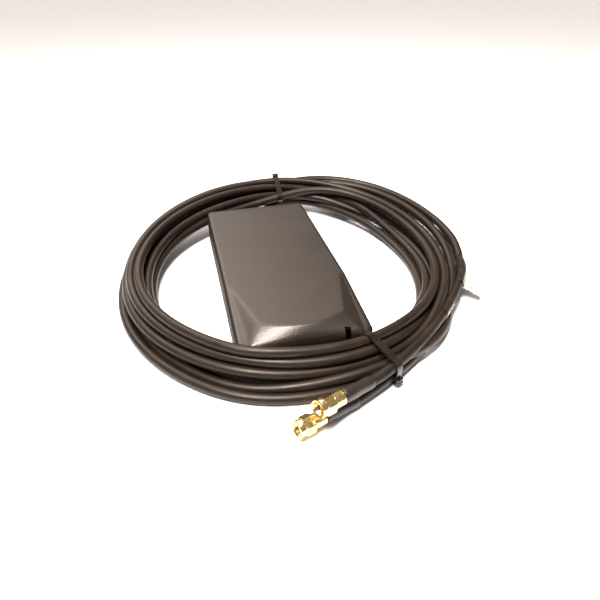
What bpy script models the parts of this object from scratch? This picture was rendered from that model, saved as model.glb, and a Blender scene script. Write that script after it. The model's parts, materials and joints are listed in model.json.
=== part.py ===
"""Low-profile two-lead cellular antenna: housing, inner parts, two coax leads in one coil, two SMA plugs.

Metres, +Z up. The origin is at the middle of the housing's base, on the surface that it lies on.
+Y points to the end where the leads leave, +X to the right when the sloping front is nearest.
"""
import math

import bmesh
import bpy
from mathutils import Matrix, Vector

# Housing
LENGTH = 0.150
WIDTH = 0.0695
HEIGHT = 0.0225
WALL = 0.0022
SHOULDER = 0.0012            # step inside the cover that the gasket seats on
CORNER = 0.0045              # corner radius in plan
TOP_EDGE = 0.0026            # round on the top's edges
GAP = 0.0003                 # clearance between touching pieces

# Sloping shelves on both front corners, and the hump that stands between them
SHELF_BACK = -0.0264         # Y where the shelves begin
FRONT_WALL = 0.0169          # height of the front wall
HUMP_BACK = 0.0315           # half width of the hump where the shelves begin
HUMP_FRONT = 0.0225          # half width at its front corners
HUMP_FOOT = 0.0025           # how far its side walls flare at the foot
HUMP_CORNER_Y = -0.0619
HUMP_NOSE_Y = -0.0685        # front of the top's arc
NOTCH = (0.01925, 0.0224)    # pry notch, from and to X
NOTCH_TOP = 0.0197
NOTCH_DEPTH = 0.0036

# Underside stack, from the surface up
LINER = 0.0003
PAD = 0.0010
PLATE = 0.0024
SKIRT_BOTTOM = LINER + GAP + PAD + GAP
PLATE_TOP = SKIRT_BOTTOM + PLATE
GASKET = 0.0008
SHOULDER_Z = PLATE_TOP + GASKET + 2 * GAP

# Circuit board and what is on it
BOARD_X, BOARD_Y, BOARD_T = 0.048, 0.112, 0.0012
BOARD_MID = -0.012
STANDOFF = 0.0020
BOARD_Z = PLATE_TOP + 2 * GAP + STANDOFF
FOIL = 0.0003

# Leads
LEAD = 0.0054
LEAD_EXIT_X = 0.011
LEAD_EXIT_Z = 0.0093
GROMMET_TIP = LENGTH / 2 + 0.017

# Coil: middle of its outline, then angle, inner radius, outer radius, bottom and top at each station
COIL_MID = (0.018, 0.010)
COIL = ((5, 70, 108, 0.1, 15), (30, 68, 113, 3, 19), (55, 72, 113, 9, 24), (75, 88, 110, 14.2, 27.5),
        (100, 90, 109, 14.2, 28.5), (135, 86, 112, 9, 26), (165, 90, 112, 3, 22), (195, 92, 112, 0.1, 20),
        (225, 93, 113, 0.1, 20), (243, 95, 114.5, 0.1, 20), (260, 88, 109, 0.1, 20),
        (276, 91.5, 102.5, 1.5, 18), (293, 86, 95.3, 0.1, 17), (310, 79, 90.5, 0.1, 15.5),
        (330, 74, 90.5, 0.1, 14), (348, 71, 96.5, 0.1, 14))

# Plugs: middle of the coupling nut's front face, and the way back along the plug
PLUG_A = (Vector((-0.0072, -0.1160, 0.0136)), Vector((0.900, 0.419, -0.115)).normalized())
PLUG_B = (Vector((-0.0167, -0.1172, 0.00510)), Vector((0.940, 0.340, -0.040)).normalized())
NUT_FLATS = 0.0080
NUT_LONG = 0.0080
BODY_LONG = 0.0060
FERRULE_LONG = 0.0080
SLEEVE_LONG = 0.0180
SLEEVE_START = NUT_LONG + BODY_LONG + 0.0006

# Tie straps
TIE_WIDE = 0.0038
TIE_THICK = 0.0011

# Labels on the leads
LABEL = 0.0002
LABEL_LONG = 0.013
FLAG_LONG = 0.016
FLAG_OUT = 0.016             # from the lead's middle to the flag's edge
FLAG_SLOPE = -28.0           # degrees, the flag's edge hanging down


def clear_scene():
    for old in list(bpy.data.objects):
        bpy.data.objects.remove(old, do_unlink=True)


def new_collection(name):
    group = bpy.data.collections.new(name)
    bpy.context.scene.collection.children.link(group)
    return group


def material(name, colour, roughness, metallic=0.0):
    mat = bpy.data.materials.new(name)
    mat.use_nodes = True
    shader = mat.node_tree.nodes["Principled BSDF"]
    shader.inputs["Base Color"].default_value = (*colour, 1.0)
    shader.inputs["Roughness"].default_value = roughness
    shader.inputs["Metallic"].default_value = metallic
    mat.diffuse_color = (*colour, 1.0)
    return mat


def place(name, mesh, mat, group=None):
    obj = bpy.data.objects.new(name, mesh)
    obj.data.materials.append(mat)
    (group or parts).objects.link(obj)
    return obj


def from_bmesh(name, bm, mat, group=None, smooth=False):
    mesh = bpy.data.meshes.new(name)
    bmesh.ops.recalc_face_normals(bm, faces=bm.faces)
    bm.to_mesh(mesh)
    bm.free()
    if smooth:
        mesh.shade_smooth()
        mesh.set_sharp_from_angle(angle=math.radians(35))
    return place(name, mesh, mat, group)


def add_box(bm, low, high):
    size = Vector(high) - Vector(low)
    middle = (Vector(high) + Vector(low)) / 2
    bmesh.ops.create_cube(bm, size=1.0, matrix=Matrix.Translation(middle) @ Matrix.Diagonal((*size, 1.0)))


def add_rod(bm, radius, low, high, x=0.0, y=0.0, sides=24):
    bmesh.ops.create_cone(bm, cap_ends=True, segments=sides, radius1=radius, radius2=radius, depth=high - low,
                          matrix=Matrix.Translation((x, y, (low + high) / 2)))


def box(name, low, high, mat, corner=0.0, group=None):
    bm = bmesh.new()
    add_box(bm, low, high)
    if corner:
        upright = [e for e in bm.edges if abs(e.verts[0].co.z - e.verts[1].co.z) > 1e-6]
        bmesh.ops.bevel(bm, geom=upright, offset=corner, segments=4, profile=0.5, affect="EDGES")
    return from_bmesh(name, bm, mat, group)


def rods(name, places, radius, low, high, mat, sides=24, group=None):
    bm = bmesh.new()
    for x, y in places:
        add_rod(bm, radius, low, high, x, y, sides)
    return from_bmesh(name, bm, mat, group, smooth=True)


def boolean(obj, tool, operation="DIFFERENCE"):
    mod = obj.modifiers.new(operation.lower() + "_" + tool.name, "BOOLEAN")
    mod.object = tool
    mod.operation = operation
    tool.display_type = "WIRE"
    tool.hide_render = True


def lead_bores(obj, name, y, radius):
    """Cuts a bore along Y for each lead, through whatever of the piece is within 6 mm of this Y."""
    for tag, side in (("a", 1), ("b", -1)):
        bm = bmesh.new()
        across = Matrix.Translation((side * LEAD_EXIT_X, y, LEAD_EXIT_Z)) @ Matrix.Rotation(math.pi / 2, 4, "X")
        bmesh.ops.create_cone(bm, cap_ends=True, segments=24, radius1=radius, radius2=radius, depth=0.012,
                              matrix=across)
        boolean(obj, from_bmesh(name + "_" + tag, bm, plastic, cutters))


def turned(name, profile, mat, matrix, sides=28):
    """A profile of (radius, distance along the axis) turned about +Z, closed unless it ends on the axis.

    It runs down its outer side, from the far end to the near one.
    """
    bm = bmesh.new()
    corners = [bm.verts.new((radius, 0.0, back)) for radius, back in profile]
    for a, b in zip(corners, corners[1:]):
        bm.edges.new((a, b))
    if profile[0][0] > 0.0:
        bm.edges.new((corners[-1], corners[0]))
    mesh = bpy.data.meshes.new(name)
    bm.to_mesh(mesh)
    bm.free()
    mesh.shade_smooth()
    obj = place(name, mesh, mat)
    turn = obj.modifiers.new("turn", "SCREW")
    turn.axis = "Z"
    turn.steps = turn.render_steps = sides
    turn.use_merge_vertices = True
    turn.merge_threshold = 0.00001
    obj.matrix_world = matrix
    return obj


def screw(name, x, y, head_radius, head_low, head_high, shank_radius, tip, mat):
    """A plain screw along Z. Its shank runs from the head to the tip, above or below it."""
    if tip < head_low:
        profile = ((0.0, head_high), (head_radius, head_high), (head_radius, head_low),
                   (shank_radius, head_low), (shank_radius, tip), (0.0, tip))
    else:
        profile = ((0.0, tip), (shank_radius, tip), (shank_radius, head_high),
                   (head_radius, head_high), (head_radius, head_low), (0.0, head_low))
    turned(name, profile, mat, Matrix.Translation((x, y, 0.0)), 16)


def ring_profile(inner, outer, front, back):
    return ((outer, back), (outer, front), (inner, front), (inner, back))


def smooth_route(points, spacing):
    """Points at an even spacing along a smooth curve through the route's own points."""
    route = [Vector(p) for p in points]
    route = [2 * route[0] - route[1]] + route + [2 * route[-1] - route[-2]]
    fine = []
    for a, b, c, d in zip(route, route[1:], route[2:], route[3:]):
        for step in range(20):
            t = step / 20
            fine.append(0.5 * (2 * b + (c - a) * t + (2 * a - 5 * b + 4 * c - d) * t ** 2
                               + (3 * b - a - 3 * c + d) * t ** 3))
    fine.append(route[-2])
    total = sum((q - p).length for p, q in zip(fine, fine[1:]))
    count = max(2, round(total / spacing))
    chosen, walked, target = [fine[0]], 0.0, total / count
    for p, q in zip(fine, fine[1:]):
        step = (q - p).length
        while walked + step >= target - 1e-9 and len(chosen) < count:
            chosen.append(p.lerp(q, (target - walked) / step))
            target += total / count
        walked += step
    return chosen + [fine[-1]]


def tube(name, points, radius, mat, spacing=0.013, resolution=2):
    curve = bpy.data.curves.new(name, "CURVE")
    curve.dimensions = "3D"
    curve.bevel_depth = radius
    curve.bevel_resolution = resolution
    curve.use_fill_caps = True
    line = curve.splines.new("POLY")
    route = smooth_route(points, spacing)
    line.points.add(len(route) - 1)
    for point, spot in zip(line.points, route):
        point.co = (*spot, 1.0)
    obj = bpy.data.objects.new(name, curve)
    curve.materials.append(mat)
    parts.objects.link(obj)
    return obj


def rounded_outline(left, right, low, high, radius, steps=5):
    corners = ((right - radius, high - radius, 0), (left + radius, high - radius, 90),
               (left + radius, low + radius, 180), (right - radius, low + radius, 270))
    return [(x + radius * math.cos(math.radians(start + 90 * k / steps)),
             y + radius * math.sin(math.radians(start + 90 * k / steps)))
            for x, y, start in corners for k in range(steps + 1)]


def flat_band(name, outlines, thickness, mat, matrix, group=None):
    """A flat outline, with its holes as further outlines, given its thickness along local Z."""
    curve = bpy.data.curves.new(name, "CURVE")
    curve.dimensions = "2D"
    curve.fill_mode = "BOTH"
    curve.extrude = thickness / 2
    for outline in outlines:
        line = curve.splines.new("POLY")
        line.points.add(len(outline) - 1)
        for point, (x, y) in zip(line.points, outline):
            point.co = (x, y, 0.0, 1.0)
        line.use_cyclic_u = True
    obj = bpy.data.objects.new(name, curve)
    curve.materials.append(mat)
    (group or parts).objects.link(obj)
    obj.matrix_world = matrix
    return obj


# Housing pieces

def cover_body():
    bm = bmesh.new()
    add_box(bm, (-WIDTH / 2, -LENGTH / 2, SKIRT_BOTTOM), (WIDTH / 2, LENGTH / 2, HEIGHT))
    upright = [e for e in bm.edges if abs(e.verts[0].co.z - e.verts[1].co.z) > 1e-6]
    bmesh.ops.bevel(bm, geom=upright, offset=CORNER, segments=5, profile=0.5, affect="EDGES")
    rim = [e for e in bm.edges if all(abs(v.co.z - HEIGHT) < 1e-6 for v in e.verts)]
    bmesh.ops.bevel(bm, geom=rim, offset=TOP_EDGE, segments=3, profile=0.5, affect="EDGES")
    return from_bmesh("top_cover", bm, plastic)


def hump_ring(level):
    """The hump's outline at one level, from 0 at the foot to 1 at the top, past both of them."""
    up = min(level, 1.0)
    crown = (1.0 - up) * (1.0 + 0.7 * up) if up > 0.0 else 1.0 - 0.3 * up
    foot_y = -LENGTH / 2
    nose = HUMP_NOSE_Y + (foot_y - HUMP_NOSE_Y) * crown
    side = HUMP_CORNER_Y + (foot_y - HUMP_CORNER_Y) * crown
    front = HUMP_FRONT + HUMP_FOOT * (1.0 - level)
    back = HUMP_BACK + HUMP_FOOT * (1.0 - level) * 0.2
    z = FRONT_WALL + (HEIGHT - FRONT_WALL) * level
    arc = []
    for k in range(13):
        across = -1.0 + k / 6
        arc.append((front * across, nose + (side - nose) * across ** 2, z))
    return [(-back, SHELF_BACK + 0.002, z)] + arc + [(back, SHELF_BACK + 0.002, z)]


def shelf_cutter():
    """The space above both shelves: a wedge without the hump."""
    bm = bmesh.new()
    reach, lift = WIDTH / 2 + 0.004, 0.006
    slope = (HEIGHT - FRONT_WALL) / (LENGTH / 2 + SHELF_BACK)
    front = -LENGTH / 2 - 0.004
    side = ((SHELF_BACK, HEIGHT), (SHELF_BACK, HEIGHT + lift), (front, HEIGHT + lift),
            (front, HEIGHT - slope * (SHELF_BACK - front)))
    ends = [[bm.verts.new((x, y, z)) for y, z in side] for x in (-reach, reach)]
    bm.faces.new(ends[0])
    bm.faces.new(reversed(ends[1]))
    for k in range(4):
        n = (k + 1) % 4
        bm.faces.new((ends[0][k], ends[1][k], ends[1][n], ends[0][n]))
    wedge = from_bmesh("shelf_cutter", bm, plastic, cutters)

    bm = bmesh.new()
    levels = (-1.6, -0.3, 0.12, 0.4, 0.65, 0.85, 1.0, 1.5)
    rings = [[bm.verts.new(p) for p in hump_ring(level)] for level in levels]
    for low, high in zip(rings, rings[1:]):
        for k in range(len(low)):
            n = (k + 1) % len(low)
            bm.faces.new((low[k], low[n], high[n], high[k]))
    bm.faces.new(rings[0])
    bm.faces.new(list(reversed(rings[-1])))
    boolean(wedge, from_bmesh("hump_guide", bm, plastic, cutters))
    return wedge


def cavity():
    """The space inside the cover, its ceiling following the shelves, with the wide mouth for the plate."""
    bm = bmesh.new()
    in_x = WIDTH / 2 - WALL - SHOULDER
    in_y = LENGTH / 2 - WALL - SHOULDER
    slope = (HEIGHT - FRONT_WALL) / (LENGTH / 2 + SHELF_BACK)
    ceiling = HEIGHT - WALL
    side = ((-in_y, SHOULDER_Z), (in_y, SHOULDER_Z), (in_y, ceiling), (SHELF_BACK, ceiling),
            (-in_y, ceiling - slope * (SHELF_BACK + in_y)))
    ends = [[bm.verts.new((x, y, z)) for y, z in side] for x in (-in_x, in_x)]
    bm.faces.new(ends[0])
    bm.faces.new(reversed(ends[1]))
    for k in range(len(side)):
        n = (k + 1) % len(side)
        bm.faces.new((ends[0][k], ends[0][n], ends[1][n], ends[1][k]))
    room = from_bmesh("room_cutter", bm, plastic, cutters)
    mouth = box("mouth_cutter", (-WIDTH / 2 + WALL, -LENGTH / 2 + WALL, 0.0),
                (WIDTH / 2 - WALL, LENGTH / 2 - WALL, SHOULDER_Z + 0.0001), plastic,
                CORNER - WALL, cutters)
    return room, mouth


BOSSES = [(x, y) for x in (-0.0275, 0.0275) for y in (-0.066, 0.066)]


def top_cover():
    cover = cover_body()
    boolean(cover, shelf_cutter())
    room, mouth = cavity()
    boolean(cover, room)
    boolean(cover, mouth)
    for name, top, ends in (("front_boss_guide", 0.0162, -1), ("rear_boss_guide", 0.0212, 1)):
        spots = [(x, y) for x, y in BOSSES if y * ends > 0]
        boolean(cover, rods(name, spots, 0.0030, PLATE_TOP + GAP, top, plastic, 20, cutters), "UNION")
    boolean(cover, rods("pilot_cutter", BOSSES, 0.0014, 0.0, 0.0130, plastic, 16, cutters))
    lining = box("notch_guide", (NOTCH[0] - 0.0015, -LENGTH / 2 + 0.0005, SHOULDER_Z),
                 (NOTCH[1] + 0.0015, -LENGTH / 2 + NOTCH_DEPTH + 0.0015, 0.0150), plastic, group=cutters)
    boolean(cover, lining, "UNION")
    boolean(cover, box("notch_slot", (NOTCH[0], -LENGTH / 2 - 0.002, SHOULDER_Z + 0.002),
                       (NOTCH[1], -LENGTH / 2 + NOTCH_DEPTH, NOTCH_TOP), plastic, group=cutters))
    lead_bores(cover, "lead_hole", LENGTH / 2, 0.0041)


def base_plate():
    inset = WALL + GAP
    plate = box("base_plate", (-WIDTH / 2 + inset, -LENGTH / 2 + inset, SKIRT_BOTTOM),
                (WIDTH / 2 - inset, LENGTH / 2 - inset, PLATE_TOP), plate_plastic, CORNER - WALL)
    boolean(plate, rods("plate_hole_cutter", BOSSES, 0.0018, 0.0, 0.008, plastic, 16, cutters))
    boolean(plate, rods("head_cutter", BOSSES, 0.0034, 0.0, SKIRT_BOTTOM + 0.0013, plastic, 20, cutters))
    boolean(plate, rods("post_guide", BOARD_HOLES, 0.0024, PLATE_TOP - 0.0005, BOARD_Z - GAP, plastic, 16,
                        cutters), "UNION")
    boolean(plate, rods("post_cutter", BOARD_HOLES, 0.0012, BOARD_Z - GAP - 0.0016, 0.02, plastic, 12, cutters))
    saddle = box("saddle_guide", (-0.0175, 0.0575, PLATE_TOP - 0.0005), (0.0175, 0.0655, LEAD_EXIT_Z - 0.0012),
                 plastic, group=cutters)
    boolean(plate, saddle, "UNION")
    lead_bores(plate, "saddle_cutter", 0.0615, LEAD / 2 + GAP)


def underside():
    box("adhesive_pad", (-0.0290, -0.0600, LINER + GAP), (0.0290, 0.0600, LINER + GAP + PAD), foam_tape, 0.004)
    box("release_liner", (-0.0300, -0.0640, 0.0), (0.0300, 0.0610, LINER), paper, 0.004)


def seal():
    x, y, wide = WIDTH / 2 - WALL - GAP, LENGTH / 2 - WALL - GAP, 0.0011
    low = PLATE_TOP + GAP
    flat_band("seal_gasket", (rounded_outline(-x, x, -y, y, CORNER - WALL),
                              rounded_outline(-x + wide, x - wide, -y + wide, y - wide, 0.001)),
              GASKET, rubber, Matrix.Translation((0, 0, low + GASKET / 2)))


BOARD_HOLES = [(x, BOARD_MID + y) for x in (-0.0225, 0.0225) for y in (-0.047, 0.047)]


def board():
    plate = box("antenna_board", (-BOARD_X / 2, BOARD_MID - BOARD_Y / 2, BOARD_Z),
                (BOARD_X / 2, BOARD_MID + BOARD_Y / 2, BOARD_Z + BOARD_T), fibreglass)
    boolean(plate, rods("board_hole_cutter", BOARD_HOLES, 0.0013, 0.0, 0.02, plastic, 16, cutters))
    top = BOARD_Z + BOARD_T
    for number, (x, y) in enumerate(BOARD_HOLES, 1):
        screw("board_screw_%d" % number, x, y, 0.0020, top + GAP, top + GAP + 0.0012, 0.0009,
              BOARD_Z - GAP - 0.0012, steel)
    box("ground_foil", (-0.0195, BOARD_MID - 0.054, BOARD_Z - GAP - FOIL),
        (0.0195, BOARD_MID + 0.054, BOARD_Z - GAP), copper)
    for name, side in (("element_a", 1), ("element_b", -1)):
        radiator(name, side, top + GAP)


def radiator(name, side, low):
    """A stepped printed dipole arm with a slot, one to each side of the board."""
    outline = ((0.0016, 0.030), (0.0070, 0.034), (0.0185, 0.034), (0.0185, 0.006), (0.0140, -0.004),
               (0.0185, -0.014), (0.0185, -0.052), (0.0065, -0.052), (0.0065, -0.030), (0.0016, -0.020))
    slot = ((0.0100, -0.046), (0.0125, -0.046), (0.0125, -0.022), (0.0100, -0.022))
    flip = [[(side * x, y + BOARD_MID + 0.008) for x, y in line] for line in (outline, slot)]
    flat_band(name, flip, FOIL, copper, Matrix.Translation((0, 0, low + FOIL / 2)))


def foam():
    """A soft block that presses the board down from under the roof."""
    low = BOARD_Z + BOARD_T + GAP + FOIL + GAP + 0.0018
    box("foam_spacer", (-0.0150, -0.0150, low), (0.0150, 0.0150, HEIGHT - WALL - GAP), soft_foam, 0.003)


def lead_clamp():
    low = LEAD_EXIT_Z - 0.0012 + 2 * GAP
    bar = box("lead_clamp", (-0.0175, 0.0580, low), (0.0175, 0.0650, LEAD_EXIT_Z + LEAD / 2 + 0.0022),
              plate_plastic)
    lead_bores(bar, "clamp_cutter", 0.0615, LEAD / 2 + GAP)
    spots = [(-0.004, 0.0615), (0.004, 0.0615)]
    boolean(bar, rods("clamp_hole_cutter", spots, 0.0013, 0.0, 0.03, plastic, 12, cutters))
    top = LEAD_EXIT_Z + LEAD / 2 + 0.0022
    for number, (x, y) in enumerate(spots, 1):
        screw("clamp_screw_%d" % number, x, y, 0.0021, top + GAP, top + GAP + 0.0013, 0.0009, low, steel)


def cover_screws():
    for number, (x, y) in enumerate(BOSSES, 1):
        screw("cover_screw_%d" % number, x, y, 0.0030, SKIRT_BOTTOM, SKIRT_BOTTOM + 0.0010, 0.0010, 0.0115, steel)


def grommet(name, x):
    """Rubber strain relief: a flange each side of the wall and a boot that tapers along the lead."""
    bore = LEAD / 2 + GAP
    wall_in, wall_out = WALL + SHOULDER + GAP, -GAP
    profile = ((0.0047, wall_in + 0.0014), (0.0047, wall_in), (0.0038, wall_in), (0.0038, wall_out),
               (0.0060, wall_out), (0.0060, -0.0022), (0.0050, -0.0040), (0.0036, -0.0165), (0.0033, -0.0170),
               (bore, -0.0170), (bore, wall_in + 0.0014))
    turned(name, profile, rubber, Matrix.Translation((x, LENGTH / 2, LEAD_EXIT_Z)) @ Matrix.Rotation(
        math.pi / 2, 4, "X"))


def inner_lead(tag, x):
    """The end of a lead inside the housing: jacket, bared core, and the joint on its element."""
    start, stop = 0.0560, LENGTH / 2 - 0.0004
    tube("lead_%s_inner" % tag, ((x, stop, LEAD_EXIT_Z), (x, start, LEAD_EXIT_Z)), LEAD / 2, jacket)
    core_z = BOARD_Z + BOARD_T + GAP + FOIL + GAP + 0.0009
    tube("coax_core_" + tag, ((x, start - GAP, LEAD_EXIT_Z), (x, 0.050, LEAD_EXIT_Z), (x, 0.046, core_z + 0.0004),
                              (x, 0.041, core_z), (x, 0.034, core_z)), 0.0008, insulator_white, 0.0025)
    bm = bmesh.new()
    bmesh.ops.create_uvsphere(bm, u_segments=16, v_segments=8, radius=0.0016)
    for vert in bm.verts:
        vert.co.z = max(vert.co.z, -0.0004)
    bmesh.ops.dissolve_limit(bm, angle_limit=0.001, verts=bm.verts, edges=bm.edges)
    bmesh.ops.transform(bm, matrix=Matrix.Translation((x, 0.0320, core_z - 0.0004)), verts=bm.verts)
    from_bmesh("solder_joint_" + tag, bm, solder)


# The coil

def outline_reach(angle):
    """How far the housing, with a little clearance, reaches from the coil's middle along an angle."""
    dx, dy = math.cos(angle), math.sin(angle)
    clear = 2 * GAP
    left, right = -WIDTH / 2 - clear - COIL_MID[0], WIDTH / 2 + clear - COIL_MID[0]
    front, back = -LENGTH / 2 - clear - COIL_MID[1], LENGTH / 2 + clear - COIL_MID[1]
    along_x = (right if dx > 0 else left) / dx if abs(dx) > 1e-6 else 1.0
    along_y = (back if dy > 0 else front) / dy if abs(dy) > 1e-6 else 1.0
    return min(along_x, along_y)


def coil_section(degrees):
    """Inner radius, outer radius, bottom and top of the coil at an angle, smooth between stations."""
    turn = degrees % 360.0
    last = COIL[-1]
    wrapped = ((last[0] - 360.0, *last[1:]), *COIL, (COIL[0][0] + 360.0, *COIL[0][1:]))
    for here, there in zip(wrapped, wrapped[1:]):
        if here[0] <= turn <= there[0]:
            t = (turn - here[0]) / (there[0] - here[0])
            t = t * t * (3.0 - 2.0 * t)
            values = [(a + (b - a) * t) / 1000.0 for a, b in zip(here[1:], there[1:])]
            break
    near = [outline_reach(math.radians(degrees + turn)) for turn in (-4, -2, 0, 2, 4)]
    values[0] = max(values[0], *near)
    return values


def lead_coil():
    """One closed ring that follows the coil's outer shape, its corners cut off."""
    bm = bmesh.new()
    rings = []
    for step in range(96):
        degrees = step * 360.0 / 96
        inner, outer, low, high = coil_section(degrees)
        cut = 0.0045
        section = ((inner, low + cut), (inner + cut, low), (outer - cut, low), (outer, low + cut),
                   (outer, high - cut), (outer - cut, high), (inner + cut, high), (inner, high - cut))
        dx, dy = math.cos(math.radians(degrees)), math.sin(math.radians(degrees))
        rings.append([bm.verts.new((COIL_MID[0] + r * dx, COIL_MID[1] + r * dy, z)) for r, z in section])
    for a, b in zip(rings, rings[1:] + rings[:1]):
        for k in range(8):
            n = (k + 1) % 8
            bm.faces.new((a[k], a[n], b[n], b[k]))
    from_bmesh("lead_coil", bm, jacket)


def along(plug, back):
    start, way = plug
    return start + way * back


FEED_A = ((LEAD_EXIT_X, LENGTH / 2, LEAD_EXIT_Z), (LEAD_EXIT_X, GROMMET_TIP, LEAD_EXIT_Z),
          (0.0114, 0.0960, 0.0093), (0.0160, 0.1045, 0.0088), (0.0250, 0.1094, 0.0086),
          (0.0360, 0.1090, 0.0092), (0.0450, 0.1056, 0.0098))
FEED_B = ((-LEAD_EXIT_X, LENGTH / 2, LEAD_EXIT_Z), (-LEAD_EXIT_X, GROMMET_TIP, LEAD_EXIT_Z),
          (-0.0107, 0.0970, 0.0093), (-0.0045, 0.1085, 0.0088), (0.0080, 0.1165, 0.0086),
          (0.0220, 0.1195, 0.0087), (0.0350, 0.1193, 0.0096), (0.0440, 0.1172, 0.0108))
TAIL_START = SLEEVE_START + FERRULE_LONG + GAP
TAIL_B = (along(PLUG_B, TAIL_START), along(PLUG_B, SLEEVE_START + SLEEVE_LONG + 0.001),
          (0.0230, -0.1018, 0.0034), (0.0340, -0.0963, 0.0042), (0.0450, -0.0902, 0.0038),
          (0.0570, -0.0820, 0.0034), (0.0700, -0.0715, 0.0034), (0.0835, -0.0588, 0.0034),
          (0.0965, -0.0445, 0.0034), (0.1080, -0.0290, 0.0033), (0.1165, -0.0130, 0.0030))
TAIL_A = (along(PLUG_A, TAIL_START), along(PLUG_A, SLEEVE_START + SLEEVE_LONG + 0.001),
          (0.0330, -0.0968, 0.0103), (0.0450, -0.0900, 0.0100),
          (0.0570, -0.0818, 0.0097), (0.0700, -0.0713, 0.0097), (0.0835, -0.0586, 0.0097),
          (0.0965, -0.0443, 0.0097), (0.1080, -0.0288, 0.0096), (0.1165, -0.0128, 0.0090))


def leads():
    tube("lead_a_feed", FEED_A, LEAD / 2, jacket, 0.006)
    tube("lead_b_feed", FEED_B, LEAD / 2, jacket, 0.006)
    lead_coil()
    tube("lead_a_tail", TAIL_A, LEAD / 2, jacket)
    tube("lead_b_tail", TAIL_B, LEAD / 2, jacket)


# Plugs

def plug_matrix(plug):
    start, way = plug
    return Matrix.Translation(start) @ way.to_track_quat("Z", "Y").to_matrix().to_4x4()


def coupling_nut(name, matrix):
    corner = NUT_FLATS / 2 / math.cos(math.pi / 6)
    bm = bmesh.new()
    add_rod(bm, corner, 0.0012, NUT_LONG, sides=6)
    nut = from_bmesh(name, bm, gold)
    nut.matrix_world = matrix
    for tag, radius, low, high, operation in (("collar", 0.0044, 0.0, 0.0016, "UNION"),
                                              ("bore", 0.0032, -0.001, 0.0062, "DIFFERENCE"),
                                              ("lip", 0.0026, 0.006, 0.010, "DIFFERENCE")):
        bm = bmesh.new()
        add_rod(bm, radius, low, high, sides=30)
        tool = from_bmesh(name + "_" + tag, bm, gold, cutters)
        tool.matrix_world = matrix
        boolean(nut, tool, operation)


def plug_pieces(tag, plug):
    at = plug_matrix(plug)
    coupling_nut("coupling_nut_" + tag, at)
    back = NUT_LONG + GAP + BODY_LONG
    stem = back + FERRULE_LONG - 0.001
    turned("plug_body_" + tag, ((0.0020, stem), (0.0020, back), (0.0035, back), (0.0035, NUT_LONG + GAP),
                                (0.0023, NUT_LONG + GAP), (0.0023, 0.0059), (0.0019, 0.0059), (0.0019, 0.0051),
                                (0.0023, 0.0051), (0.0023, 0.0024), (0.00185, 0.0024), (0.00155, 0.0066),
                                (0.00155, 0.0132), (0.0011, 0.0136), (0.0011, stem)), gold, at)
    turned("insulator_" + tag, ring_profile(0.00095, 0.00122, 0.0040, 0.0130), insulator_white, at, 20)
    turned("centre_pin_" + tag, ((0.0, 0.0180), (0.00060, 0.0180), (0.00060, 0.0024), (0.00035, 0.0016),
                                 (0.0, 0.0013)), gold, at, 16)
    turned("nut_gasket_" + tag, ring_profile(0.0026, 0.0029, 0.0030, 0.0040), silicone, at, 24)
    turned("retaining_ring_" + tag, ring_profile(0.0022, 0.0029, 0.00525, 0.00575), steel, at, 24)
    turned("crimp_ferrule_" + tag, ring_profile(0.0023, 0.0028, back + GAP, back + FERRULE_LONG - GAP), gold, at, 24)
    turned("heatshrink_sleeve_" + tag, ring_profile(0.0031, 0.0034, SLEEVE_START, SLEEVE_START + SLEEVE_LONG),
           shrink, at, 24)


# Ties and labels

def tie(name, middle, way, left, right, low, high, head_low, head_high):
    """A strap round the bundle, with its locking head as a block on the outside of it."""
    outer = rounded_outline(left - TIE_THICK, right + TIE_THICK, low - TIE_THICK, high + TIE_THICK, 0.0050)
    hole = rounded_outline(left, right, low, high, 0.0040)
    cross = Vector((way[1], -way[0], 0.0)).normalized()
    axes = Matrix((cross, Vector((0, 0, 1)), cross.cross(Vector((0, 0, 1))))).transposed().to_4x4()
    matrix = Matrix.Translation(Vector(middle)) @ axes
    band = flat_band(name + "_band", (outer, hole), TIE_WIDE, nylon, matrix)
    mesh = bpy.data.meshes.new_from_object(band.evaluated_get(bpy.context.evaluated_depsgraph_get()))
    bm = bmesh.new()
    bm.from_mesh(mesh)
    bmesh.ops.remove_doubles(bm, verts=bm.verts, dist=0.00001)
    bm.to_mesh(mesh)
    bm.free()
    bpy.data.objects.remove(band)
    strap = bpy.data.objects.new(name, mesh)
    parts.objects.link(strap)
    strap.matrix_world = matrix
    head = box(name + "_head", (*head_low, -0.0026), (*head_high, 0.0026), nylon, group=cutters)
    head.matrix_world = matrix
    boolean(strap, head, "UNION")


def ties():
    # The front strap also holds both tails, the back one only the coil.
    tie("tie_front", (0.0330, -0.0880, 0.0), (0.890, 0.456), -0.0096, 0.0125, 0.00125, 0.0183,
        (0.0128, 0.0022), (0.0172, 0.0070))
    tie("tie_back", (0.0230, 0.1090, 0.0), (-1.0, 0.0), -0.0115, 0.0115, 0.0138, 0.0290,
        (0.0034, 0.0285), (0.0086, 0.0333))


def on_route(route, index):
    """The middle of one stretch of a route, with local Z along it and local X level, to the outside."""
    here, there = Vector(route[index]), Vector(route[index + 1])
    way = (there - here).normalized()
    out = Vector((way.y, -way.x, 0.0)).normalized()
    axes = Matrix((out, way.cross(out), way)).transposed().to_4x4()
    return Matrix.Translation(here.lerp(there, 0.5)) @ axes


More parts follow.
